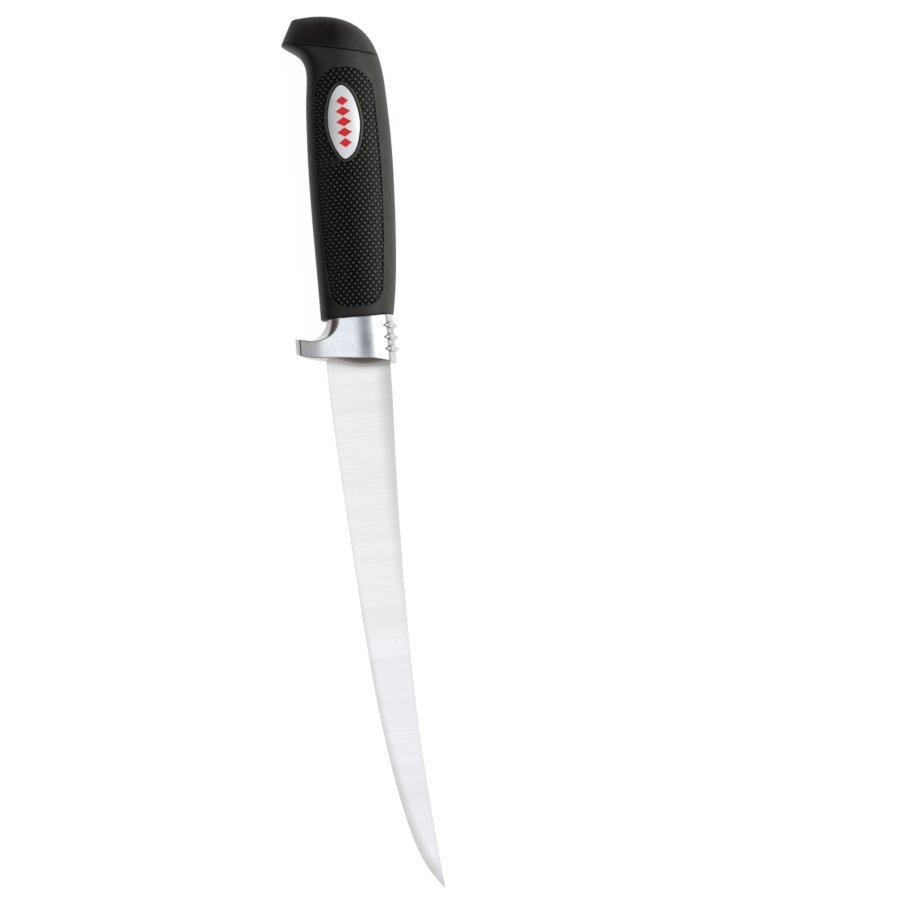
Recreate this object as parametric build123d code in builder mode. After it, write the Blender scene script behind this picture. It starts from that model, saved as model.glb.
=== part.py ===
"""A fillet knife: a slim ground blade with a hidden tang, a cast aluminium guard, a hard core moulded round
the tang, a soft grip moulded over the core, and an oval badge let into each side of the grip.

The knife lies on its left side, as it would on a table. +X runs along the knife to the tip, +Y towards the
spine, and +Z up, away from the table. The origin is on the table, under the middle of the bounding box.
"""

from build123d import *
from math import acos, cos, degrees, radians, sin, tan, tau
import os

# Overall sizes, in millimetres and degrees
blade_length = 190.5
handle_length = 126.0
lip_reach = 21.5
back_reach = 18.8
grip_thickness = 22.4

# Blade
heel_spine_y = 11.6
heel_edge_y = -11.3
tip_y = 14.9
spine_thickness = 2.0
tip_thickness = 0.9
grind_edge_thickness = 0.9
cutting_edge_thickness = 0.1
edge_bevel_angle = 17.0
heel_seat = 4.0
taper_start = 2.0

# Tang, with the holes that the core is keyed through
tang_length = 92.0
tang_root_width = 13.0
tang_end_width = 8.0
tang_y = 3.0
tang_hole_radius = 2.2
tang_hole_pitch = 24.0
tang_hole_count = 3

# Guard
guard_length = 16.4
guard_back_y = 13.9
guard_thickness = 20.8
guard_crown = 1.6
guard_corner_width = 1.9
guard_corner_depth = 3.6
guard_corner_radius = 2.2
guard_rounding = 0.4
lip_setback = 5.1
lip_length = 5.6
lip_thickness = 13.6
lip_corner_width = 1.5
lip_corner_depth = 2.8
front_dome_drop = 2.8
scoop_radius = 7.1
scoop_x = -16.7
scoop_y = -17.0
scoop_flare_x = 0.5
scoop_flare_y = 4.7
scoop_flare_radius = 0.6
guard_front_wall = 6.4
nose_y = 3.0
nose_width = 16.4
nose_thickness = 14.4
nose_corner_radius = 5.0
slot_clearance = 0.1

# Thumb ridges across the back of the guard
ridge_height = 1.3
ridge_side_height = 0.4
ridge_half_length = 1.0
ridge_root = 0.6
ridge_tail = 3.4
ridge_first_gap = 3.8
ridge_pitch = 4.2
ridge_count = 3

# Grip
grip_edge_reach = 11.9
soft_wall = 2.4
grip_front_rounding = 0.6
butt_rounding = 1.6
grip_squareness = 2.8

# Pocket for the gripping diamonds, one on each side
pocket_depth = 0.7
pocket_front_gap = 3.8
pocket_rear_gap = 21.0
pocket_front_radius = 6.5
pocket_rear_radius = 9.4

# Badge and the raised rim round it
badge_rear_gap = 40.3
badge_centre_y = 2.9
badge_length = 26.2
badge_width = 11.3
badge_squareness = 1.8
badge_thickness = 1.2
badge_sink = 0.1
badge_gap = 0.2
rim_width = 1.5
rim_proud = 0.3

# Places that follow from the sizes above
overall_length = blade_length + handle_length
heel_x = overall_length / 2 - blade_length
axis_y = (lip_reach - back_reach) / 2
mid_z = grip_thickness / 2
grip_length = handle_length - guard_length
cup_depth = guard_length - guard_front_wall
badge_centre_x = -handle_length + badge_rear_gap

# Side outlines of the grip, as shares (x of the grip length back from the guard, y of the reach on that side)
grip_edge_shares = (
    (0.000, 1.000), (0.250, 1.000), (0.480, 0.985), (0.640, 0.925), (0.760, 0.830), (0.820, 0.795),
    (0.862, 0.925), (0.884, 1.110), (0.911, 1.471),
)
grip_back_shares = (
    (0.000, 0.755), (0.105, 0.851), (0.275, 0.937), (0.440, 0.986), (0.590, 1.000), (0.720, 0.979),
    (0.784, 0.957), (0.820, 0.930), (0.849, 0.896),
)
grip_thickness_shares = (0.925, 0.950, 0.975, 0.995, 1.000, 0.975, 0.945, 0.920, 0.905, 0.865)
butt_edge_shares = ((0.911, 1.471), (0.968, 1.210), (0.993, 1.090))
butt_back_shares = (
    (0.849, 0.896), (0.877, 0.848), (0.913, 0.739), (0.945, 0.590), (0.984, 0.200), (0.997, -0.240),
)
butt_thickness_shares = (0.940, 0.780, 0.600, 0.400, 0.180)

# The pocket's sides at its front, middle and rear, as shares of the reach on each side
pocket_edge_shares = (0.57, 0.70, 0.50)
pocket_back_shares = (0.58, 0.77, 0.73)

grip_stretch = (grip_edge_shares, grip_back_shares, grip_thickness_shares)
butt_stretch = (butt_edge_shares, butt_back_shares, butt_thickness_shares)
grip_station_count = 16
butt_station_count = 5
grip_point_count = 16
badge_point_count = 12

# The levels at which the guard is drawn, as shares of half its thickness up from the middle plane
guard_level_shares = (-1, -0.5, 0, 0.5, 1)

# The guard's front, as shares (of the lip's setback, of the height up from the lip, of the dome's drop)
guard_front_shares = (
    (0.16, 1.0, 0.0), (0.25, 0.78, 0.95), (0.20, 0.62, 1.0),
    (-0.21, 0.38, 0.6), (-0.73, 0.08, 0.12), (-1.0, 0.0, 0.0),
)

# The blade's spine and edge, as shares (of the blade length, and of the width at the heel up from its edge)
spine_shares = ((0.17, 0.957), (0.44, 0.913), (0.71, 0.957), (0.91, 1.074))
edge_shares = ((0.16, 0.048), (0.41, 0.179), (0.62, 0.314), (0.75, 0.450), (0.87, 0.642), (0.94, 0.825))


def at(x, y, z=0.0):
    """A point given from the heel: along the knife, towards the spine and up from the middle plane."""
    return Vector(heel_x + x, axis_y + y, mid_z + z)


mid_plane = Plane(origin=at(0, 0))
up = Vector(0, 0, 1)


def section_plane(edge_point, back_point):
    """A plane across the knife through two outline points, with its x axis from the first to the second."""
    across = back_point - edge_point
    return Plane(origin=edge_point + across / 2, x_dir=across, z_dir=across.cross(up))


def oval_points(width, thickness, squareness, count):
    """Points round an oval: an ellipse at a squareness of 2, blunter above it and more pointed below."""
    points = []
    for i in range(count):
        across, rise = cos(tau * i / count), sin(tau * i / count)
        points.append((
            (abs(across) ** (2 / squareness)) * (width if across > 0 else -width) / 2,
            (abs(rise) ** (2 / squareness)) * (thickness if rise > 0 else -thickness) / 2,
        ))
    return points


def badge_outline(margin=0):
    """The badge's oval on the middle plane, widened all round by a margin."""
    length, width = badge_length + 2 * margin, badge_width + 2 * margin
    oval = oval_points(length, width, badge_squareness, badge_point_count)
    with BuildSketch(mid_plane) as face:
        with BuildLine():
            Spline(*[(badge_centre_x + x, badge_centre_y + y) for x, y in oval], periodic=True)
        make_face()
    return face.sketch


def outline(shares, reach):
    """A smooth line through side outline points of the grip."""
    with BuildLine() as line:
        Spline(*[at(-guard_length - x * grip_length, y * reach) for x, y in shares])
    return line.line


def handle_form(inset, stretch=grip_stretch, count=grip_station_count):
    """One stretch of the handle's outer form, a loft through ovals that are all drawn in by the inset."""
    edge_shares, back_shares, thickness_shares = stretch
    edge_line = outline(edge_shares, -grip_edge_reach)
    back_line = outline(back_shares, back_reach)
    with BuildLine() as thickness_line:
        Spline(*[(i, share) for i, share in enumerate(thickness_shares)])
    with BuildPart() as form:
        for i in range(count + 1):
            edge_point, back_point = edge_line @ (i / count), back_line @ (i / count)
            width = (back_point - edge_point).length
            thickness = (thickness_line.line @ (i / count)).Y * grip_thickness
            oval = oval_points(width - 2 * inset, thickness - 2 * inset, grip_squareness, grip_point_count)
            with BuildSketch(section_plane(edge_point, back_point)):
                with BuildLine():
                    Spline(*oval, periodic=True)
                make_face()
        loft()
    return form.part


def cross_plane(x):
    """A plane square to the knife's length, with its x axis towards the spine and its y axis up."""
    return Plane(origin=at(x, 0), x_dir=(0, 1, 0), z_dir=(1, 0, 0))


def blade_outline(shares, heel_y):
    """Points along the blade's spine or edge, from the end of the heel to the tip."""
    width = heel_spine_y - heel_edge_y
    middle = [(x * blade_length, heel_edge_y + y * width) for x, y in shares]
    return [(-heel_seat, heel_y), (0, heel_y), *middle, (blade_length, tip_y)]


def write_part(builder, name):
    """Label a finished piece and write it under its own name."""
    piece = builder.part
    piece.label = name
    export_step(piece, f"parts/{name}.step")
    print(name, round(piece.volume, 1), piece.is_valid, len(piece.solids()), len(piece.faces()))


os.makedirs("parts", exist_ok=True)

# Blade: a flat strip, ground on both faces so that it thins to the edge and to the tip
with BuildPart() as blade:
    with BuildSketch(mid_plane):
        with BuildLine():
            Spline(*blade_outline(spine_shares, heel_spine_y))
            edge_line = Spline(*blade_outline(edge_shares, heel_edge_y))
            Line((-heel_seat, heel_spine_y), (-heel_seat, heel_edge_y))
        make_face()
    extrude(amount=spine_thickness / 2, both=True)
    # Each face is ground in two flats that meet just in front of the guard, where the taper to the tip starts
    for side in (1, -1):
        root_spine = at(taper_start, heel_spine_y, side * spine_thickness / 2)
        root_edge = at(taper_start, heel_edge_y, side * grind_edge_thickness / 2)
        heel_spine = at(-heel_seat, heel_spine_y, side * spine_thickness / 2)
        tip_spine = at(blade_length, tip_y, side * tip_thickness / 2)
        for rear, front in ((heel_spine, root_spine), (root_spine, tip_spine)):
            inward = (front - rear).cross(root_edge - root_spine) * side
            split(bisect_by=Plane(origin=root_spine, z_dir=inward), keep=Keep.TOP)
    # The cutting edge: a narrow bevel on each face, all along the edge
    bevel_path = mid_plane.from_local_coords(edge_line)
    bevel_reach = spine_thickness / tan(radians(edge_bevel_angle))
    low, high = cutting_edge_thickness / 2, cutting_edge_thickness / 2 + spine_thickness
    along = bevel_path % 0
    with BuildSketch(Plane(origin=bevel_path @ 0, x_dir=up.cross(along), z_dir=along)):
        with BuildLine():
            Polyline(
                (-spine_thickness, low), (0, low), (bevel_reach, high), (-spine_thickness, high), close=True,
            )
        make_face()
        mirror(about=Plane.XZ)
    sweep(path=bevel_path, normal=up, mode=Mode.SUBTRACT)
    # The tang, with its keying holes
    with BuildSketch(mid_plane):
        with BuildLine():
            root, end = tang_root_width / 2, tang_end_width / 2
            tang_end_x = -heel_seat - tang_length
            Polyline(
                (-heel_seat, tang_y + root), (tang_end_x, tang_y + end), (tang_end_x, tang_y - end),
                (-heel_seat, tang_y - root), close=True,
            )
        make_face()
        with Locations((tang_end_x + tang_hole_pitch * tang_hole_count / 2, tang_y)):
            with GridLocations(tang_hole_pitch, 0, tang_hole_count, 1):
                Circle(tang_hole_radius, mode=Mode.SUBTRACT)
    extrude(amount=spine_thickness / 2, both=True)
write_part(blade, "blade")


def guard_side_form():
    """The guard seen from the side, with a domed front and a finger scoop that flares towards both faces."""
    height = guard_back_y + lip_reach
    with BuildPart() as form:
        for share in guard_level_shares:
            spread = share ** 2
            flare = spread ** 2
            front = [
                (x * lip_setback - drop * front_dome_drop * spread, y * height - lip_reach)
                for x, y, drop in guard_front_shares
            ]
            centre_x = scoop_x + scoop_flare_x * flare
            centre_y = scoop_y + scoop_flare_y * flare
            radius = scoop_radius + scoop_flare_radius * flare
            opening = degrees(acos((-guard_length - centre_x) / radius))
            with BuildSketch(mid_plane.offset(share * guard_thickness / 2)):
                with BuildLine():
                    Spline(*front)
                    Line(front[-1], (front[-1][0] - lip_length, -lip_reach))
                    Line((front[-1][0] - lip_length, -lip_reach), (centre_x + radius, centre_y))
                    scoop = CenterArc((centre_x, centre_y), radius, 0, opening)
                    Line(scoop @ 1, (-guard_length, guard_back_y))
                    Line((-guard_length, guard_back_y), front[0])
                make_face()
        loft()
    return form.part


def guard_end_form(side_extra=0, back_extra=0):
    """The guard seen from the front: crowned sides, cut corners at the back and a narrower lip."""
    half = guard_thickness / 2 + side_extra
    lip_half = lip_thickness / 2 + side_extra
    back = guard_back_y + back_extra
    with BuildPart() as form:
        with BuildSketch(cross_plane(-guard_length)) as end:
            with BuildLine():
                lip = Polyline(
                    (-lip_reach, 0), (-lip_reach, lip_half - lip_corner_depth),
                    (-lip_reach + lip_corner_width, lip_half),
                )
                corner = Polyline(
                    (guard_back_y - guard_corner_width + side_extra, half - guard_crown),
                    (back, half - guard_crown - guard_corner_depth), (back, 0),
                )
                ThreePointArc(lip @ 1, (0, half), corner @ 0)
                mirror(about=Plane.XZ)
            make_face()
            off_centre = end.vertices().filter_by(lambda vertex: abs(vertex.Y) > spine_thickness)
            fillet(off_centre, guard_corner_radius)
        extrude(amount=guard_length + lip_setback)
    return form.part


guard_side = guard_side_form()
guard_end = guard_end_form()
ridge_end = guard_end_form(ridge_side_height, ridge_height)

# Three thumb ridges: pointed bars that run over the back of the guard and die away on its sides
with BuildPart() as ridges:
    with BuildSketch(mid_plane):
        for i in range(ridge_count):
            ridge_x = -guard_length + ridge_first_gap + i * ridge_pitch
            root_y = guard_back_y - ridge_root
            with BuildLine():
                Polyline(
                    (ridge_x, guard_back_y + ridge_height), (ridge_x + ridge_half_length, root_y),
                    (ridge_x, guard_back_y - ridge_tail), (ridge_x - ridge_half_length, root_y), close=True,
                )
            make_face()
    extrude(amount=guard_thickness, both=True)
    add(ridge_end, mode=Mode.INTERSECT)

# Guard: a cast ferrule with a finger lip, a cup behind for the core's nose and a slot for the tang
with BuildPart() as guard:
    add(guard_side)
    add(guard_end, mode=Mode.INTERSECT)
    seam_edges = guard.faces().sort_by(Axis.X)[0].edges()
    fillet(guard.edges().filter_by(lambda edge: edge not in seam_edges), guard_rounding)
    add(ridges.part)
    with BuildSketch(cross_plane(-guard_length)):
        with Locations((nose_y, 0)):
            RectangleRounded(nose_width, nose_thickness, nose_corner_radius)
    extrude(amount=cup_depth, mode=Mode.SUBTRACT)
    with BuildSketch(cross_plane(-guard_length)):
        with Locations((tang_y, 0)):
            Rectangle(tang_root_width + 2 * slot_clearance, spine_thickness + 2 * slot_clearance)
    extrude(amount=guard_length - heel_seat, mode=Mode.SUBTRACT)
    with BuildSketch(cross_plane(-heel_seat)):
        with BuildLine():
            back_half = spine_thickness / 2 + slot_clearance
            edge_half = grind_edge_thickness / 2 + slot_clearance
            back_y, edge_y = heel_spine_y + slot_clearance, heel_edge_y - slot_clearance
            Polyline(
                (back_y, back_half), (edge_y, edge_half),
                (edge_y, -edge_half), (back_y, -back_half), close=True,
            )
        make_face()
    extrude(amount=heel_seat + lip_setback, mode=Mode.SUBTRACT)
write_part(guard, "guard")

# Core: hard plastic moulded round the tang and through its holes, with a nose that fills the guard's cup
core_form = handle_form(soft_wall)
core_front_x = -guard_length - soft_wall
with BuildPart() as handle_core:
    add(core_form)
    split(bisect_by=cross_plane(core_front_x), keep=Keep.BOTTOM)
    with BuildSketch(cross_plane(core_front_x)):
        with Locations((nose_y, 0)):
            RectangleRounded(nose_width, nose_thickness, nose_corner_radius)
    extrude(amount=soft_wall + cup_depth)
    add(blade.part, mode=Mode.SUBTRACT)
write_part(handle_core, "handle_core")

# The pocket that holds the gripping diamonds, cut to one depth below the surface on both sides
pocket_floor = handle_form(pocket_depth)
with BuildPart() as pockets:
    with BuildSketch(mid_plane) as pocket_outline:
        front_x, rear_x = -guard_length - pocket_front_gap, -handle_length + pocket_rear_gap
        middle_x = (front_x + rear_x) / 2
        with BuildLine():
            edge_side = ThreePointArc(*[(x, -y * grip_edge_reach) for x, y in zip(
                (front_x, middle_x, rear_x), pocket_edge_shares)])
            back_side = ThreePointArc(*[(x, y * back_reach) for x, y in zip(
                (front_x, middle_x, rear_x), pocket_back_shares)])
            Line(edge_side @ 0, back_side @ 0)
            Line(edge_side @ 1, back_side @ 1)
        make_face()
        fillet(pocket_outline.vertices().group_by(Axis.X)[0], pocket_rear_radius)
        fillet(pocket_outline.vertices().group_by(Axis.X)[-1], pocket_front_radius)
    extrude(amount=grip_thickness, both=True)
    add(pocket_floor, mode=Mode.SUBTRACT)

# The raised oval rims that stand in the pockets, and the recesses for the badges
rim_top = handle_form(-rim_proud)
with BuildPart() as rims:
    extrude(badge_outline(rim_width), amount=grip_thickness, both=True)
    add(rim_top, mode=Mode.INTERSECT)

badge_back = handle_form(badge_sink + badge_thickness)
with BuildPart() as recesses:
    extrude(badge_outline(badge_gap), amount=grip_thickness, both=True)
    add(badge_back, mode=Mode.SUBTRACT)

# Soft grip: moulded over the core, from the guard to the hooked butt
grip_outer = handle_form(0)
butt_outer = handle_form(0, butt_stretch, butt_station_count)
with BuildPart() as soft_grip:
    add(grip_outer)
    add(butt_outer)
    fillet(soft_grip.edges().sort_by(Axis.X)[-1], grip_front_rounding)
    fillet(soft_grip.edges().sort_by(Axis.X)[0], butt_rounding)
    add(pockets.part, mode=Mode.SUBTRACT)
    add(rims.part)
    add(recesses.part, mode=Mode.SUBTRACT)
    add(handle_core.part, mode=Mode.SUBTRACT)
    add(blade.part, mode=Mode.SUBTRACT)
write_part(soft_grip, "soft_grip")

# Badges: a thin oval plate on each side, a little below its rim
badge_face = handle_form(badge_sink)
for name, side in (("badge_right", 1), ("badge_left", -1)):
    with BuildPart() as badge:
        extrude(badge_outline(), amount=side * grip_thickness)
        add(badge_face, mode=Mode.INTERSECT)
        add(badge_back, mode=Mode.SUBTRACT)
    write_part(badge, name)
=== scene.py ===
# %% [markdown]
# # A fillet knife
#
# The knife lies on its side on a pale table, and the camera looks straight down at it. Its blade, guard,
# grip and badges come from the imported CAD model, which gives every piece its true size and place. This
# notebook gives those pieces their finishes, adds the small raised diamonds of the grip and the bead, the
# domed face and the print of each badge, and sets up the camera and the light. Lengths are in metres, so a
# millimetre is named early on.

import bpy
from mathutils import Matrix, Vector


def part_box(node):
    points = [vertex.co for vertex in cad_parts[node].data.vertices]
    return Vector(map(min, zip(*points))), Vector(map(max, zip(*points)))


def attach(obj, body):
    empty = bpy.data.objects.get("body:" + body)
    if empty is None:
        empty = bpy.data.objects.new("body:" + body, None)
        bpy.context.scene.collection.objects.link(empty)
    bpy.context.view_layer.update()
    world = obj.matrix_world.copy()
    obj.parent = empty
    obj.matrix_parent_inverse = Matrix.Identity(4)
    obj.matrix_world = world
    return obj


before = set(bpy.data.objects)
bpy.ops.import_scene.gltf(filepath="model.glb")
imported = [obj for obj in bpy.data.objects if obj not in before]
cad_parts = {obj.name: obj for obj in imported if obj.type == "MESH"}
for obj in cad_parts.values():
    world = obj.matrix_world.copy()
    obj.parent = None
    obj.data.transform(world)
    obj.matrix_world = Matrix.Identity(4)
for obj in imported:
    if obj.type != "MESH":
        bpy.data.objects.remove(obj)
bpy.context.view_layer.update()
print("CAD nodes:", sorted(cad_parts))

# %% [markdown]
# ## Where things are
#
# A few places are used again and again: the heel, where the blade meets the guard, and the middle plane of
# the knife. They could be typed in as numbers, but worked out from the boxes of the CAD nodes they follow
# the model if it moves.

# %% Name the knife's main places
from math import cos, pi, radians, sin, tan

import bmesh
import bpy
from mathutils import Matrix, Vector
from mathutils.bvhtree import BVHTree

mm = 0.001
blade_length = 190.5 * mm
lip_reach = 21.5 * mm
grip_low, grip_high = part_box("soft_grip")
badge_low, badge_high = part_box("badge_right")
mid_z = (grip_low.z + grip_high.z) / 2
heel = Vector((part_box("blade")[1].x - blade_length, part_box("guard")[0].y + lip_reach, mid_z))
print("heel at", [round(value / mm, 2) for value in heel], "mm")

# %% [markdown]
# ## Camera
#
# The photograph was taken from straight above, with the knife turned five degrees from upright. The camera
# could be moved about until the picture looks right, but a measured camera needs no second try. The heel of
# the blade is a point that is easy to find in the picture, so the camera is placed from that one pixel, the
# turn, and the size of a pixel on the knife. A long lens keeps the perspective weak, as in the photograph.

# %% Place the camera
frame_pixels = 908
heel_pixel = (358, 364)
pixel = 0.36 * mm
turn = radians(5)
lens = 85
sensor = 36


def placed(place, x_axis, y_axis, z_axis):
    """A matrix that puts something at a place, with its three axes along these directions."""
    return Matrix.Translation(place) @ Matrix((x_axis, y_axis, z_axis)).transposed().to_4x4()


across = (frame_pixels / 2 - heel_pixel[0]) * pixel
down = (frame_pixels / 2 - heel_pixel[1]) * pixel
right = Vector((sin(turn), cos(turn), 0))
top = Vector((-cos(turn), sin(turn), 0))
distance = frame_pixels * pixel * lens / sensor
place = heel + right * across - top * down + Vector((0, 0, distance))

camera_data = bpy.data.cameras.new("camera")
camera_data.lens = lens
camera_data.sensor_width = sensor
camera = bpy.data.objects.new("camera", camera_data)
camera.matrix_world = placed(place, right, top, right.cross(top))
bpy.context.collection.objects.link(camera)
bpy.context.scene.camera = camera
bpy.context.scene.view_settings.view_transform = "Standard"
print("camera at", [round(value / mm, 1) for value in place], "mm")

# %% [markdown]
# ## Nodes in a few words
#
# A material is a small network of nodes. It could be drawn by hand in the editor, but these helpers write
# it down instead, so that each network below reads from top to bottom. The first one adds a node, and gives
# each of its sockets a number, a colour of three numbers, or the output of another node.

# %% Helpers that add nodes
def add_node(tree, kind, feeds=None, **options):
    """Add a node with its options, and feed its sockets with numbers, colours and other nodes' outputs."""
    node = tree.nodes.new("ShaderNode" + kind)
    for option, value in options.items():
        setattr(node, option, value)
    for label, value in (feeds or {}).items():
        socket = node.inputs[label]
        if isinstance(value, bpy.types.NodeSocket):
            tree.links.new(value, socket)
        elif socket.type == "RGBA":
            socket.default_value = (*value, 1)
        else:
            socket.default_value = value
    return node


def calculate(tree, operation, *terms):
    """One step of arithmetic on numbers and outputs."""
    return add_node(tree, "Math", dict(enumerate(terms)), operation=operation).outputs[0]


def spread(tree, value, low, high, start=0.3, end=0.7, **options):
    """Go from low to high as a value goes from start to end, by default the middle of a noise."""
    feeds = {"Value": value, "From Min": start, "From Max": end, "To Min": low, "To Max": high}
    return add_node(tree, "MapRange", feeds, **options).outputs[0]


def mix_colours(tree, share, first, second):
    """Go from one colour to another as a share goes from 0 to 1."""
    # A Mix node has sockets for each kind of data: 6 and 7 are its two colours, and output 2 is the mixed one
    return add_node(tree, "Mix", {0: share, 6: first, 7: second}, data_type="RGBA").outputs[2]


def new_tree(name):
    """Make an empty material and return it with its node tree."""
    material = bpy.data.materials.new(name)
    material.use_nodes = True
    material.node_tree.nodes.clear()
    return material, material.node_tree


print("node helpers ready")

# %% [markdown]
# ## Table
#
# The photograph has a plain white ground. It could be white paper under more light, but that light would
# fall on the knife too. So the table is a wide sheet that shows as white to the camera and to reflections,
# whatever the lamps do. A small share of it is real paper, which catches a faint shadow of the knife.

# %% Paint the table
table_shade = (0.90, 0.90, 0.90)
paper_share = 0.08
glow_strength = 1.05

table_material, tree = new_tree("table_white")
path = add_node(tree, "LightPath").outputs
seen = calculate(tree, "MAXIMUM", path["Is Camera Ray"], path["Is Glossy Ray"])
seen_or_through = calculate(tree, "MAXIMUM", seen, path["Is Transmission Ray"])
glow_share = calculate(tree, "MULTIPLY", seen_or_through, 1 - paper_share)
paper = add_node(tree, "BsdfDiffuse", {"Color": table_shade})
glow = add_node(tree, "Emission", {"Strength": glow_strength})
mixed = add_node(tree, "MixShader", {0: glow_share, 1: paper.outputs[0], 2: glow.outputs[0]})
add_node(tree, "OutputMaterial", {"Surface": mixed.outputs[0]})
print("material", table_material.name)

# %% Lay the table
table_half = 3.0


def make_object(shape, name, material):
    """Turn a finished bmesh into an object of one material, with its place in its mesh."""
    mesh = bpy.data.meshes.new(name)
    shape.to_mesh(mesh)
    shape.free()
    mesh.materials.append(material)
    made = bpy.data.objects.new(name, mesh)
    bpy.context.collection.objects.link(made)
    return made


shape = bmesh.new()
bmesh.ops.create_grid(shape, x_segments=1, y_segments=1, size=table_half)
table = make_object(shape, "table", table_material)
print("table", 2 * table_half, "m wide")

# %% [markdown]
# ## Light
#
# Metal shows its surroundings, so the lamps are placed for what the guard reflects, and not for where they
# would stand in a room. One soft box hangs above and a little to the cutting side, and a brighter one leans
# in from the spine side. The narrow gap between them is the soft dark band down the middle of the guard.
# Each has a dimmer box beyond it, which shows in the corners of the metal. A box is placed by the two
# angles from straight up between which it is seen from the knife, and by its level, which is how bright it
# looks: a white surface that only sees boxes at level 1 renders white. The room is dim, cool overhead and
# warmer towards the horizon.

# %% Paint the room
horizon_colour = (0.105, 0.078, 0.056)
zenith_colour = (0.16, 0.18, 0.21)
# The height of a direction is 0 on the horizon and 1 overhead
warm_up_to = 0.6
straight_up = 1.0

world = bpy.data.worlds.new("room")
world.use_nodes = True
tree = world.node_tree
tree.nodes.clear()
direction = add_node(tree, "TexCoord").outputs["Generated"]
height = add_node(tree, "SeparateXYZ", {0: direction}).outputs["Z"]
overhead = spread(tree, height, 0, 1, warm_up_to, straight_up)
room_tone = mix_colours(tree, overhead, horizon_colour, zenith_colour)
dim_room = add_node(tree, "Background", {"Color": room_tone})
white_room = add_node(tree, "Background", {"Color": (1, 1, 1)})
seen = add_node(tree, "LightPath").outputs["Is Camera Ray"]
room = add_node(tree, "MixShader", {0: seen, 1: dim_room.outputs[0], 2: white_room.outputs[0]})
add_node(tree, "OutputWorld", {"Surface": room.outputs[0]})
bpy.context.scene.world = world
print("room painted")

# %% Hang the soft boxes
box_distance = 1.9
box_length = 2.6


def soft_box(name, first_angle, last_angle, level):
    """Hang a soft box that fills the sky between two angles from straight up, counted towards the spine."""
    middle = radians((first_angle + last_angle) / 2)
    width = 2 * box_distance * tan(radians(last_angle - first_angle) / 2)
    along = Vector((1, 0, 0))
    facing = Vector((0, sin(middle), cos(middle)))
    data = bpy.data.lights.new(name, "AREA")
    data.shape = "RECTANGLE"
    data.size, data.size_y = box_length, width
    # An area lamp's brightness is its energy divided by pi and by its area
    data.energy = level * pi * box_length * width
    lamp = bpy.data.objects.new(name, data)
    lamp.matrix_world = placed(facing * box_distance, along, facing.cross(along), facing)
    lamp.visible_camera = False
    bpy.context.collection.objects.link(lamp)
    print(name, round(width, 2), "m wide, level", level)


soft_box("far_cutting_side_box", -58, -29, 0.36)
soft_box("cutting_side_box", -29, 4, 0.97)
soft_box("spine_side_box", 15, 44, 2.1)
soft_box("far_spine_side_box", 44, 78, 0.7)

# %% [markdown]
# ## Shared effects
#
# Three effects turn up in more than one finish. Fine grain is the skin that a mould or a casting leaves.
# Shaded hollows are painted shade, darker where the surface is closed in. Ground lines are the scratches
# that a belt or a wheel leaves, all in one direction. A fourth, worn edges, is where handling has polished
# the corners of the guard. Each could be written out in every material. As a node group it is made once,
# and a finish only gives it its own sizes.

# %% Helpers for the node groups
bevel_samples = 6
hollow_samples = 8


def new_group(name, inputs, outputs):
    """Make a shader node group, and return its tree, what it is given and what it puts out."""
    tree = bpy.data.node_groups.new(name, "ShaderNodeTree")
    for label, size in inputs.items():
        kind = "NodeSocketVector" if size is None else "NodeSocketFloat"
        socket = tree.interface.new_socket(name=label, in_out="INPUT", socket_type=kind)
        if size is not None:
            socket.default_value = size
    for label in outputs:
        tree.interface.new_socket(name=label, in_out="OUTPUT", socket_type="NodeSocketFloat")
    return tree, tree.nodes.new("NodeGroupInput").outputs, tree.nodes.new("NodeGroupOutput").inputs


def add_group(tree, group, feeds):
    """Place a node group in a material, and return its outputs."""
    return add_node(tree, "Group", feeds, node_tree=group).outputs


def noise(tree, vector, scale, detail, roughness=0.5):
    """A cloudy pattern, with so many clouds to a metre."""
    return add_node(tree, "TexNoise", {
        "Vector": vector, "Scale": scale, "Detail": detail, "Roughness": roughness}).outputs[0]


def rounded_normal(tree, radius):
    """The normal that the surface would have if its edges were rounded off."""
    return add_node(tree, "Bevel", {"Radius": radius}, samples=bevel_samples).outputs[0]


print("group helpers ready")

# %% Build the node group for fine grain
# For each grain in a row there are this many patches of the slow tone
patch_to_grain = 0.06

grain_group, given, result = new_group("fine_grain", {"Vector": None, "Size": 0.3 * mm}, ["Height", "Tone"])
scale = calculate(grain_group, "DIVIDE", 1.0, given["Size"])
fine = noise(grain_group, given["Vector"], scale, detail=3.0, roughness=0.6)
slow_scale = calculate(grain_group, "MULTIPLY", scale, patch_to_grain)
slow = noise(grain_group, given["Vector"], slow_scale, detail=2.0)
grain_group.links.new(fine, result["Height"])
grain_group.links.new(slow, result["Tone"])
print("group", grain_group.name)

# %% Build the node group for worn edges
worn_patch = 2.5 * mm
least_bend, most_bend = 0.01, 0.08

wear_group, given, result = new_group("worn_edges", {"Vector": None, "Radius": 0.4 * mm}, ["Mask"])
rounded = rounded_normal(wear_group, given["Radius"])
plain = add_node(wear_group, "NewGeometry").outputs["Normal"]
alike = add_node(wear_group, "VectorMath", {0: rounded, 1: plain}, operation="DOT_PRODUCT").outputs["Value"]
bend = calculate(wear_group, "SUBTRACT", 1.0, alike)
patches = noise(wear_group, given["Vector"], 1 / worn_patch, detail=3.0)
patchy = calculate(wear_group, "MULTIPLY", bend, patches)
wear_group.links.new(spread(wear_group, patchy, 0, 1, least_bend, most_bend), result["Mask"])
print("group", wear_group.name)

# %% Build the node group for shaded hollows
# The mask paints shade where the surface is closed in.
closed_in, open_enough = 0.45, 0.9

hollow_group, given, result = new_group("shaded_hollows", {"Reach": 0.8 * mm}, ["Mask"])
openness = add_node(hollow_group, "AmbientOcclusion", {"Distance": given["Reach"]}, samples=hollow_samples)
hollow = spread(hollow_group, openness.outputs["AO"], 1, 0, closed_in, open_enough)
hollow_group.links.new(hollow, result["Mask"])
print("group", hollow_group.name)

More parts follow.
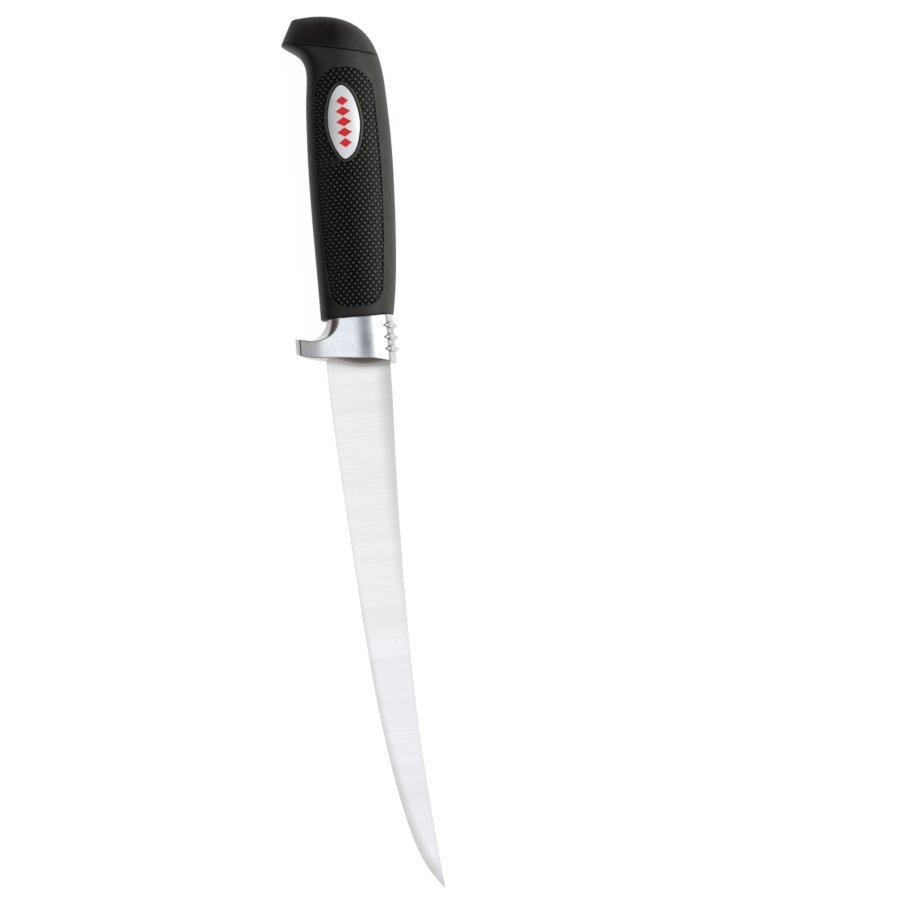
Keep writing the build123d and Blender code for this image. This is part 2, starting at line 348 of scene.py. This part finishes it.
# %% Build the node group for ground lines
# For each line there are this many broad streaks
streak_to_line = 0.12

lines_group, given, result = new_group(
    "ground_lines", {"Vector": None, "Spacing": 0.25 * mm, "Length": 20 * mm}, ["Height", "Streak"])
along = calculate(lines_group, "DIVIDE", 1.0, given["Spacing"])
over = calculate(lines_group, "DIVIDE", 1.0, given["Length"])
stretch = add_node(lines_group, "CombineXYZ", {"X": along, "Y": over, "Z": over}).outputs[0]
stretched = add_node(lines_group, "VectorMath", {0: given["Vector"], 1: stretch},
                     operation="MULTIPLY").outputs[0]
lines = noise(lines_group, stretched, 1.0, detail=4.0, roughness=0.7)
streaks = noise(lines_group, stretched, streak_to_line, detail=3.0, roughness=0.6)
lines_group.links.new(lines, result["Height"])
lines_group.links.new(streaks, result["Streak"])
print("group", lines_group.name)

# %% [markdown]
# ## Rubber of the grip
#
# The grip is soft black rubber. It could be one dark shiny colour, but then the pits between its diamonds
# would shine as well. Here the shine is a thin coat over a base that has almost none, and a mask of the
# hollows takes the coat off and paints them near black, a painted shade. The colour is painted lighter
# towards the spine, a painted light from that side. The diamonds and the bead are newer looking and shinier
# than the skin between them. The hard core inside shows on no side, and has a duller plastic from the same
# function.

# %% Helpers that every finish uses
def add_bump(tree, height, depth, strength, under=None):
    """Raise a surface by a height from 0 to 1, to a depth in metres, on top of the normal under it."""
    feeds = {"Height": height, "Distance": depth, "Strength": strength}
    if under is not None:
        feeds["Normal"] = under
    return add_node(tree, "Bump", feeds).outputs[0]


def add_shader(tree, feeds):
    """Add the Principled shader with what feeds it, and make it the material's surface."""
    shader = add_node(tree, "BsdfPrincipled", feeds)
    add_node(tree, "OutputMaterial", {"Surface": shader.outputs[0]})


def dress(names, material):
    """Give a finish to CAD nodes in place of their plain one."""
    for name in names:
        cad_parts[name].material_slots[0].material = material
    print(material.name, "on", ", ".join(names))


print("finish helpers ready")

# %% Mix a rubber
# The near-black colour below is painted shade for the hollows.
pit_shade = (0.0006, 0.0006, 0.0007)
# The two tones and the span below paint the rubber lighter towards the spine: painted light from that side.
spine_lit_dark = (0.076, 0.074, 0.068)
spine_lit_light = (0.094, 0.0915, 0.084)
spine_lit_start = 2 * mm
spine_lit_end = 14 * mm
pit_reach = 0.9 * mm
base_gloss = 0.06
skin_depth = 0.02 * mm


def rubber(name, dark, light, sheen, roughness, grain, softening):
    """A rubber between two tones, with a sheen and its roughness, a size of grain, and softened edges."""
    material, tree = new_tree(name)
    place = add_node(tree, "TexCoord").outputs["Object"]
    skin = add_group(tree, grain_group, {"Vector": place, "Size": grain})
    hollow = add_group(tree, hollow_group, {"Reach": pit_reach})["Mask"]
    patches = spread(tree, skin["Tone"], 0, 1)
    rubber_tone = mix_colours(tree, patches, dark, light)
    # Painted light: the rubber's colour goes lighter towards the spine.
    spine_lit_tone = mix_colours(tree, patches, spine_lit_dark, spine_lit_light)
    over = add_node(tree, "SeparateXYZ", {0: place}).outputs["Y"]
    spine_lit_share = spread(tree, over, 0, 1, heel.y + spine_lit_start, heel.y + spine_lit_end)
    rolled = rounded_normal(tree, softening)
    # The hollows take a painted shade, near black, and lose their coat.
    add_shader(tree, {
        "Base Color": mix_colours(tree, hollow, mix_colours(tree, spine_lit_share, rubber_tone, spine_lit_tone), pit_shade),
        "Roughness": spread(tree, skin["Tone"], 0.5, 0.7),
        "Specular IOR Level": base_gloss,
        "Coat Weight": spread(tree, hollow, sheen, 0, start=0, end=1),
        "Coat Roughness": roughness,
        "Coat Normal": rolled,
        "Normal": add_bump(tree, skin["Height"], skin_depth, 0.5, rolled),
    })
    return material


print("rubber greys between", spine_lit_start / mm, "and", spine_lit_end / mm, "mm from the heel's line")

# %% Soft rubber for the grip, its diamonds and its beads
moulded_dark = (0.005, 0.0048, 0.0043)
moulded_light = (0.012, 0.0114, 0.0104)

grip_finish = rubber("grip_satin", (0.003, 0.0028, 0.0025), (0.010, 0.0095, 0.0085),
                     sheen=0.45, roughness=0.38, grain=0.25 * mm, softening=1.0 * mm)
diamond_finish = rubber("grip_diamond", moulded_dark, moulded_light,
                        sheen=0.8, roughness=0.30, grain=0.2 * mm, softening=0.12 * mm)
bead_finish = rubber("grip_bead", moulded_dark, moulded_light,
                     sheen=1.0, roughness=0.25, grain=0.2 * mm, softening=0.1 * mm)
dress(["soft_grip"], grip_finish)

# %% Hard plastic for the core
core_finish = rubber("core_moulded", (0.03, 0.03, 0.03), (0.04, 0.04, 0.038),
                     sheen=0.7, roughness=0.6, grain=0.4 * mm, softening=0.3 * mm)
dress(["handle_core"], core_finish)

# %% [markdown]
# ## Cast aluminium of the guard
#
# The guard is one aluminium casting, with its sides polished to a satin. Its front and the side towards the
# finger are painted greyer and browner, a painted shade for the dim room they face. It could be one plain
# metal, but then only the lamps would tell its faces apart. So a cast tone is streaked by polishing lines,
# given a painted brown shade in the hollows, painted grey where the surface faces the front or the finger,
# and brightened where its edges are worn.
# The CAD mesh stays as it is, so a Bevel node rounds its crisp edges in the shading.

# %% Tones of the casting
cast_dark = (0.68, 0.70, 0.73)
cast_light = (0.77, 0.785, 0.81)
polish_grey = (0.60, 0.62, 0.65)
polish_share = 0.35
# The brown below is painted shade in the guard's hollows.
hollow_shade_brown = (0.09, 0.07, 0.052)

guard_finish, tree = new_tree("guard_satin")
place = add_node(tree, "TexCoord").outputs["Object"]
skin = add_group(tree, grain_group, {"Vector": place, "Size": 0.22 * mm})
polish = add_group(tree, lines_group, {"Vector": place, "Spacing": 0.3 * mm, "Length": 9 * mm})
hollow = add_group(tree, hollow_group, {"Reach": 4.0 * mm})["Mask"]
cast = mix_colours(tree, spread(tree, skin["Tone"], 0, 1), cast_dark, cast_light)
satin = mix_colours(tree, spread(tree, polish["Streak"], 0, polish_share), cast, polish_grey)
shaded = mix_colours(tree, hollow, satin, hollow_shade_brown)
print("guard streaked and shaded")

# %% The painted shade of the front and finger side, and the worn edges
# The grey below is painted shade on the faces turned to the front and the finger.
front_shade_grey = (0.40, 0.365, 0.33)
front_shade_share = 0.75
half_turned, well_turned = 0.4, 0.8
worn_silver = (0.80, 0.805, 0.82)

facing = add_node(tree, "SeparateXYZ", {0: add_node(tree, "TexCoord").outputs["Normal"]}).outputs
to_finger = calculate(tree, "MULTIPLY", facing["Y"], -1.0)
to_finger_or_front = calculate(tree, "MAXIMUM", to_finger, facing["X"])
front_shade_mask = spread(tree, to_finger_or_front, 0, front_shade_share, half_turned, well_turned)
front_shaded = mix_colours(tree, front_shade_mask, shaded, front_shade_grey)
worn = add_group(tree, wear_group, {"Vector": place, "Radius": 0.35 * mm})["Mask"]
tone = mix_colours(tree, worn, front_shaded, worn_silver)
print("guard unpolished from a normal of", half_turned, "to", well_turned)

# %% Satin shader for the guard
guard_rounding = 0.8 * mm
worn_roughness = 0.15

# On a Mix node for plain numbers, 2 and 3 are the two numbers, and output 0 is the mixed one
satin_roughness = spread(tree, polish["Streak"], 0.14, 0.22)
roughness = add_node(tree, "Mix", {0: worn, 2: satin_roughness, 3: worn_roughness},
                     data_type="FLOAT").outputs[0]
pitted = add_bump(tree, skin["Height"], 0.012 * mm, 0.35, rounded_normal(tree, guard_rounding))
add_shader(tree, {
    "Base Color": tone,
    "Metallic": 1.0,
    "Roughness": roughness,
    "Normal": add_bump(tree, polish["Height"], 0.01 * mm, 0.3, pitted),
})
dress(["guard"], guard_finish)

# %% [markdown]
# ## Ground steel of the blade
#
# The blade is stainless strip with ground faces. Under soft boxes it is almost white, warmer at the heel
# and cooler towards the tip, with fine lines from the grinding belt. A darker strip beside the spine,
# widest at the heel, and a darker band along the belly of the cutting edge are painted reflections. The
# strip and the band could be a painted image, but an image is a fixed number of pixels and a formula is
# sharp at any size. So the lines of the spine and the edge are worked out from a few lengths and the share
# of the blade that lies behind a place, and the strip and the band are drawn by how far a place is from them.

# %% Measure the share of the blade's length
blade_finish, tree = new_tree("blade_ground")
place = add_node(tree, "TexCoord").outputs["Object"]
at = add_node(tree, "SeparateXYZ", {0: place}).outputs
share = spread(tree, at["X"], 0, 1, heel.x, heel.x + blade_length)
print("blade from", round(heel.x / mm, 1), "to", round((heel.x + blade_length) / mm, 1), "mm")

# %% The strip along the spine's gentle curve
spine_reach = 11.6 * mm
spine_rise = 3.3 * mm
spine_sag = 3.5 * mm
strip_width_at_heel = 7.0 * mm
strip_width_at_tip = 2.0 * mm
strip_strength_at_heel = 0.62
strip_strength_at_tip = 0.12

rest = calculate(tree, "SUBTRACT", 1.0, share)
bow = calculate(tree, "MULTIPLY", share, rest)
chord = calculate(tree, "MULTIPLY_ADD", share, spine_rise, heel.y + spine_reach)
# The bow is a quarter at mid-length, so four times the sag brings the line down by the whole sag there
spine_line = calculate(tree, "MULTIPLY_ADD", bow, -4 * spine_sag, chord)
below = calculate(tree, "SUBTRACT", spine_line, at["Y"])
strip_width = spread(tree, share, strip_width_at_heel, strip_width_at_tip, start=0, end=0.6)
near_spine = spread(tree, below, 1, 0, 0, strip_width, interpolation_type="SMOOTHSTEP")
strip_strength = spread(tree, share, strip_strength_at_heel, strip_strength_at_tip, start=0, end=0.5)
strip_share = calculate(tree, "MULTIPLY", near_spine, strip_strength)
print("strip", strip_width_at_heel / mm, "to", strip_width_at_tip / mm, "mm wide")

# %% The band along the cutting edge, which is nearly straight, then bellies up, and sweeps up at the tip
edge_drop = 11.3 * mm
edge_slope = 9.5 * mm
belly_rise = 12.7 * mm
belly_power = 5.0
upsweep_rise = 4.0 * mm
upsweep_power = 20.0
band_width_at_heel = 1.0 * mm
band_width_at_tip = 4.2 * mm
band_strength_at_heel = 0.2
band_strength_at_tip = 0.85

straight = calculate(tree, "MULTIPLY_ADD", share, edge_slope, heel.y - edge_drop)
belly_share = calculate(tree, "POWER", share, belly_power)
bellied = calculate(tree, "MULTIPLY_ADD", belly_share, belly_rise, straight)
upsweep_share = calculate(tree, "POWER", share, upsweep_power)
edge_line = calculate(tree, "MULTIPLY_ADD", upsweep_share, upsweep_rise, bellied)
above = calculate(tree, "SUBTRACT", at["Y"], edge_line)
band_width = spread(tree, share, band_width_at_heel, band_width_at_tip, start=0.3, end=0.9)
near_edge = spread(tree, above, 1, 0, 0, band_width, interpolation_type="SMOOTHSTEP")
band_strength = spread(tree, share, band_strength_at_heel, band_strength_at_tip, start=0.2, end=0.8)
band_share = calculate(tree, "MULTIPLY", near_edge, band_strength)
print("band", band_width_at_heel / mm, "to", band_width_at_tip / mm, "mm wide")

# %% Tones of the blade
warm_dark, warm_light = (0.835, 0.812, 0.783), (0.91, 0.887, 0.858)
cool_dark, cool_light = (0.81, 0.817, 0.835), (0.89, 0.895, 0.91)
line_grey = (0.74, 0.735, 0.73)
# The strip's grey and the band's grey below are painted reflections.
spine_shade_grey = (0.40, 0.395, 0.39)
edge_shade_grey = (0.60, 0.59, 0.585)
# The brown below is painted shade where the blade runs under the guard.
seam_shade_brown = (0.35, 0.33, 0.31)
line_strength = 0.4
line_fade_at_tip = 0.3
seam_shade_strength = 0.5

fine = add_group(tree, lines_group, {"Vector": place, "Spacing": 0.35 * mm, "Length": 60 * mm})
coarse = add_group(tree, lines_group, {"Vector": place, "Spacing": 0.8 * mm, "Length": 14 * mm})
warm = mix_colours(tree, fine["Streak"], warm_dark, warm_light)
cool = mix_colours(tree, fine["Streak"], cool_dark, cool_light)
tone = mix_colours(tree, spread(tree, share, 0, 1, start=0, end=0.7), warm, cool)
line_share = calculate(tree, "MULTIPLY", spread(tree, coarse["Height"], 0, line_strength),
                       spread(tree, share, 1, line_fade_at_tip, start=0, end=1))
lined = mix_colours(tree, line_share, tone, line_grey)
with_strip = mix_colours(tree, strip_share, lined, spine_shade_grey)
with_band = mix_colours(tree, band_share, with_strip, edge_shade_grey)
# Painted shade: the blade goes brown where it is closed in by the guard.
hollow = add_group(tree, hollow_group, {"Reach": 2.5 * mm})["Mask"]
shaded = mix_colours(tree, spread(tree, hollow, 0, seam_shade_strength, start=0, end=1), with_band, seam_shade_brown)
print("blade toned")

# %% Ground shader for the blade
scratched = add_bump(tree, coarse["Height"], 0.01 * mm, 0.25)
add_shader(tree, {
    "Base Color": shaded,
    "Metallic": 1.0,
    "Roughness": spread(tree, coarse["Streak"], 0.26, 0.36),
    "Normal": add_bump(tree, fine["Height"], 0.006 * mm, 0.3, scratched),
})
dress(["blade"], blade_finish)

# %% [markdown]
# ## Silver and red of the badges
#
# A badge has a silver face under a thin clear coat, painted grey towards the finger and bright towards the
# spine, a painted reflection of the light from the spine side. That could be left to the lamps, but the face
# is nearly flat and would look the same all over, so the change is in its colour. The print on it is a plain
# red ink, with a fine grain so that it isn't one flat colour.

# %% Silvered face for the badges
grey_dark, grey_light = (0.46, 0.475, 0.49), (0.58, 0.595, 0.61)
silver_dark, silver_light = (0.84, 0.845, 0.86), (0.95, 0.955, 0.965)

badge_finish, tree = new_tree("badge_silver")
place = add_node(tree, "TexCoord").outputs["Object"]
flake = add_group(tree, grain_group, {"Vector": place, "Size": 0.15 * mm})
over = add_node(tree, "SeparateXYZ", {0: place}).outputs["Y"]
# The share below paints the face brighter towards the spine: a painted reflection.
badge_light_share = spread(tree, over, 0, 1, badge_low.y, badge_high.y)
grey = mix_colours(tree, flake["Height"], grey_dark, grey_light)
silver = mix_colours(tree, flake["Height"], silver_dark, silver_light)
add_shader(tree, {
    "Base Color": mix_colours(tree, badge_light_share, grey, silver),
    "Metallic": 0.8,
    "Roughness": spread(tree, flake["Tone"], 0.36, 0.44),
    "Coat Weight": 0.2,
    "Coat Roughness": 0.1,
    "Normal": add_bump(tree, flake["Height"], 0.006 * mm, 0.3),
})
dress(["badge_left", "badge_right"], badge_finish)

# %% Red print for the badges
red_dark, red_light = (0.74, 0.009, 0.014), (0.90, 0.014, 0.02)

print_finish, tree = new_tree("badge_print_red")
place = add_node(tree, "TexCoord").outputs["Object"]
ink = add_group(tree, grain_group, {"Vector": place, "Size": 0.2 * mm})
add_shader(tree, {
    "Base Color": mix_colours(tree, ink["Height"], red_dark, red_light),
    "Roughness": spread(tree, ink["Tone"], 0.32, 0.44),
    "Specular IOR Level": 0.3,
    "Normal": add_bump(tree, ink["Height"], 0.004 * mm, 0.3),
})
print("material", print_finish.name)

# %% [markdown]
# ## The grip's diamonds
#
# Each side of the grip has a sunk field filled with several hundred small rubber diamonds, set in staggered
# rows. They could be a bump in the rubber's material, but then they would be flat from the side and cast no
# shade into the pits between them, so they are real shapes. One diamond is a four-sided cone with its top
# cut off and its corners rounded. It is copied to each place of the pattern by ray casts on the CAD grip,
# so the rows follow the curve of the handle. The floor of the field is where the rubber over the core is
# thinner. A diamond whose foot is partly on that floor is kept too, and stands at the same depth, so the
# outermost ones run into the smooth rubber, as on the moulded part.

# %% Shape one diamond
pitch_along = 2.5 * mm
pitch_across = 2.13 * mm
diamond_height = 0.67 * mm
diamond_sink = 0.05 * mm
diamond_fill = 0.97
diamond_top = 0.56
diamond_rounding = 0.14 * mm

shape = bmesh.new()
footprint = Matrix.Diagonal((pitch_along / 2 * diamond_fill, pitch_across / 2 * diamond_fill, 1, 1))
rise = Matrix.Translation((0, 0, (diamond_height - diamond_sink) / 2))
bmesh.ops.create_cone(shape, cap_ends=True, segments=4, radius1=1, radius2=diamond_top,
                      depth=diamond_height + diamond_sink, matrix=rise @ footprint)
upper_edges = [edge for edge in shape.edges if max(vert.co.z for vert in edge.verts) > 0]
bmesh.ops.bevel(shape, geom=upper_edges, offset=diamond_rounding, offset_type="OFFSET", affect="EDGES",
                segments=2, profile=0.5, material=-1)
diamond_mesh = bpy.data.meshes.new("diamond")
shape.to_mesh(diamond_mesh)
shape.free()
print("one diamond has", len(diamond_mesh.polygons), "faces")

# %% Cast rays at the knife's sides
def tree_of(name):
    """A search tree of a CAD node's surface."""
    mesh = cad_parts[name].data
    return BVHTree.FromPolygons([vert.co for vert in mesh.vertices],
                                [face.vertices for face in mesh.polygons])


def surface_at(tree, x, y, side):
    """The point and the normal of a surface over a place, seen from one side of the knife."""
    start = Vector((x, y, mid_z + side * (grip_high.z - grip_low.z)))
    return tree.ray_cast(start, Vector((0, 0, -side)))[:2]


grip_tree = tree_of("soft_grip")
core_tree = tree_of("handle_core")
met = surface_at(grip_tree, badge_low.x, heel.y, 1)[0]
print("a ray meets the grip at", [round(value / mm, 2) for value in met], "mm")

# %% Find the floor of the field
field_wall = 1.7 * mm
wall_margin = 0.3 * mm
thickest_wall = 2.9 * mm
foot_share = 0.4


def rubber_at(x, y, side):
    """The grip's surface point and normal over a place, and how thick the rubber is there."""
    point, normal = surface_at(grip_tree, x, y, side)
    if point is None:
        return None, None, 0
    return point, normal, core_tree.find_nearest(point)[3]


def partly_on_floor(point, side):
    """Whether the middle or a corner of a diamond's foot is on the floor of the field."""
    along, over = pitch_along * foot_share, pitch_across * foot_share
    for x, y in ((0, 0), (along, 0), (-along, 0), (0, over), (0, -over)):
        if abs(rubber_at(point.x + x, point.y + y, side)[2] - field_wall) < wall_margin:
            return True
    return False


in_field = (heel.x - 60 * mm, heel.y)
print("rubber in the field", round(rubber_at(*in_field, 1)[2] / mm, 2), "mm thick")

# %% Step along a row
least_step = 0.3


def row_of_places(x, start_y, side):
    """Places of one row, a pitch apart along the curved surface, out both ways from a start."""
    for direction in (1, -1):
        y = start_y
        while True:
            point, normal, wall = rubber_at(x, y, side)
            if point is None:
                break
            if direction == 1 or y != start_y:
                yield point, normal, wall
            y += direction * pitch_across * max(abs(normal.z), least_step)


print("a row over the badge has", len(list(row_of_places(badge_low.x, heel.y, 1))), "places")

# %% A helper that finishes a piece
def finish_piece(shape, name, material, sharp_angle):
    """Make a shape a smooth piece that rides on the knife, crisp where its faces turn by a sharp angle."""
    piece = make_object(shape, name, material)
    piece.data.shade_smooth()
    piece.data.set_sharp_from_angle(angle=sharp_angle)
    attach(piece, "root")
    print(name, "has", len(piece.data.polygons), "faces")


print("piece helper ready")

# %% Set the diamonds on each side
rear_reach = 8 * mm
least_upright = 0.3
diamond_sharp_angle = radians(62)


def stand_on(point, normal):
    """A matrix that stands a piece on a surface, with its length along the knife."""
    length = (Vector((1, 0, 0)) - normal * normal.x).normalized()
    return placed(point, length, normal.cross(length), normal)


def set_diamonds(name, side, badge):
    """Fill the field on one side of the grip with diamonds."""
    low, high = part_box(badge)
    field = bmesh.new()
    count = 0
    row = 0
    x = badge_low.x - rear_reach
    while x < grip_high.x:
        start_y = (low.y + high.y) / 2 + (row % 2) * pitch_across / 2
        for point, normal, wall in row_of_places(x, start_y, side):
            deep_enough = field_wall - wall_margin < wall < thickest_wall
            if side * normal.z > least_upright and deep_enough and partly_on_floor(point, side):
                copy = diamond_mesh.copy()
                copy.transform(stand_on(point - normal * (wall - field_wall), normal))
                field.from_mesh(copy)
                bpy.data.meshes.remove(copy)
                count += 1
        row += 1
        x += pitch_along / 2
    print(count, "diamonds in", row, "rows")
    finish_piece(field, name, diamond_finish, diamond_sharp_angle)


set_diamonds("grip_diamonds_right", 1, "badge_right")
set_diamonds("grip_diamonds_left", -1, "badge_left")

# %% [markdown]
# ## The badges
#
# The badge is a thin oval plate with a slightly domed face, and a rounded bead of rubber runs round it.
# Both could be drawn as ovals of their own, but then they might miss the CAD badge by a hair. So both
# follow its outline, which is found by casting rays at its side wall from all round. The bead and the dome
# are stacks of closed loops joined by bridges. The print is a column of small red lozenges that lie on the
# dome.

# %% Trace the outline of each badge
outline_count = 72
rays_from = 40 * mm
badge_names = {1: "badge_right", -1: "badge_left"}
badge_trees = {side: tree_of(name) for side, name in badge_names.items()}
badge_centres = {side: (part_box(name)[0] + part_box(name)[1]) / 2 for side, name in badge_names.items()}


def outline_of(side):
    """Points and outward directions round the side wall of a badge."""
    low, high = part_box(badge_names[side])
    reach = (high - low) / 2
    found = []
    for i in range(outline_count):
        turn = 2 * pi * i / outline_count
        away = Vector((reach.x * cos(turn), reach.y * sin(turn), 0)).normalized()
        point, normal, _, _ = badge_trees[side].ray_cast(badge_centres[side] + away * rays_from, -away)
        found.append((point, Vector((normal.x, normal.y, 0)).normalized()))
    return found


outlines = {side: outline_of(side) for side in badge_names}
print("outline of", len(outlines[1]), "points")

# %% Helpers that stack loops into a piece
badge_sharp_angle = radians(50)


def edges_of(verts):
    """The edges that meet at some vertices, each once, and in the same order on every run."""
    return list(dict.fromkeys(edge for vert in verts for edge in vert.link_edges))


def add_loop(shape, points):
    """Add a closed loop through points, and return its edges."""
    verts = bmesh.ops.create_circle(shape, segments=len(points), radius=1)["verts"]
    for vert, point in zip(verts, points):
        vert.co = point
    return edges_of(verts)


def finish_closed(shape, name, material):
    """Point the faces of a closed shape outwards, and finish it."""
    bmesh.ops.recalc_face_normals(shape, faces=shape.faces)
    finish_piece(shape, name, material, badge_sharp_angle)


print("loop helpers ready")

# %% Round a bead of rubber about each badge
bead_start = 0.45 * mm
bead_width = 0.85 * mm
bead_height = 0.20 * mm
bead_steps = 7
bead_root = 0.05 * mm


def set_bead(name, side):
    """A half-round ring that stands on the flat of the rim."""
    shape = bmesh.new()
    loops = []
    for step in range(bead_steps):
        turn = pi * step / (bead_steps - 1)
        margin = bead_start + bead_width * (1 - cos(turn)) / 2
        lift = side * (bead_height * sin(turn) - bead_root)
        points = []
        for point, outward in outlines[side]:
            place = point + outward * margin
            points.append(surface_at(grip_tree, place.x, place.y, side)[0] + Vector((0, 0, lift)))
        loops.append(add_loop(shape, points))
    for first, second in zip(loops, loops[1:] + loops[:1]):
        bmesh.ops.bridge_loops(shape, edges=first + second)
    finish_closed(shape, name, bead_finish)


set_bead("badge_bead_right", 1)
set_bead("badge_bead_left", -1)

# %% Dome the badge faces
dome_height = 0.34 * mm
dome_edge = 0.05 * mm
dome_inset = 0.04 * mm
dome_shares = (1, 1, 0.97, 0.9, 0.75, 0.55, 0.3, 0.1)


def dome_point(x, y, side, share):
    """A place on the domed face, where the share runs from 0 in the middle to 1 at the edge."""
    rise = Vector((0, 0, side * dome_height * (1 - share ** 2)))
    return surface_at(badge_trees[side], x, y, side)[0] + rise


def set_dome(name, side):
    """A thin domed plate that covers the flat CAD badge, with its first loop sunk in the badge."""
    centre = badge_centres[side]
    shape = bmesh.new()
    loops = []
    for number, share in enumerate(dome_shares):
        lift = -dome_edge if number == 0 else dome_edge
        points = []
        for point, outward in outlines[side]:
            edge = point - outward * dome_inset
            place = centre + (edge - centre) * share
            points.append(dome_point(place.x, place.y, side, share) + Vector((0, 0, side * lift)))
        loops.append(add_loop(shape, points))
    for first, second in zip(loops, loops[1:]):
        bmesh.ops.bridge_loops(shape, edges=first + second)
    bmesh.ops.holes_fill(shape, edges=loops[0] + loops[-1])
    finish_closed(shape, name, badge_finish)


set_dome("badge_dome_right", 1)
set_dome("badge_dome_left", -1)

# %% Print the lozenges
lozenge_count = 5
lozenge_pitch = 3.75 * mm
lozenge_length = 3.4 * mm
lozenge_width = 5.6 * mm
lozenge_cuts = 3
narrowing = 0.3
ink_lift = 0.03 * mm
ink_thickness = 0.02 * mm
badge_reach = (badge_high - badge_low) / 2


def set_print(name, side):
    """A column of lozenges that follow the dome, narrower towards both ends."""
    centre = badge_centres[side]
    shape = bmesh.new()
    for i in range(lozenge_count):
        place = i - (lozenge_count - 1) / 2
        width = lozenge_width * (1 - narrowing * (2 * place / lozenge_count) ** 2)
        size = Matrix.Diagonal((lozenge_length / 2, width / 2, 1, 1))
        shift = Matrix.Translation((centre.x + place * lozenge_pitch, centre.y, 0))
        made = bmesh.ops.create_circle(shape, cap_ends=True, segments=4, radius=1, matrix=shift @ size)
        bmesh.ops.subdivide_edges(shape, edges=edges_of(made["verts"]), cuts=lozenge_cuts, use_grid_fill=True)
    for vert in shape.verts:
        x, y = vert.co.x, vert.co.y
        share = Vector(((x - centre.x) / badge_reach.x, (y - centre.y) / badge_reach.y)).length
        vert.co = dome_point(x, y, side, share) + Vector((0, 0, side * (dome_edge + ink_lift)))
    bmesh.ops.solidify(shape, geom=shape.faces[:], thickness=ink_thickness)
    finish_closed(shape, name, print_finish)


set_print("badge_print_right", 1)
set_print("badge_print_left", -1)

# %% [markdown]
# ## End
#

# %% End of the notebook
print("notebook done")
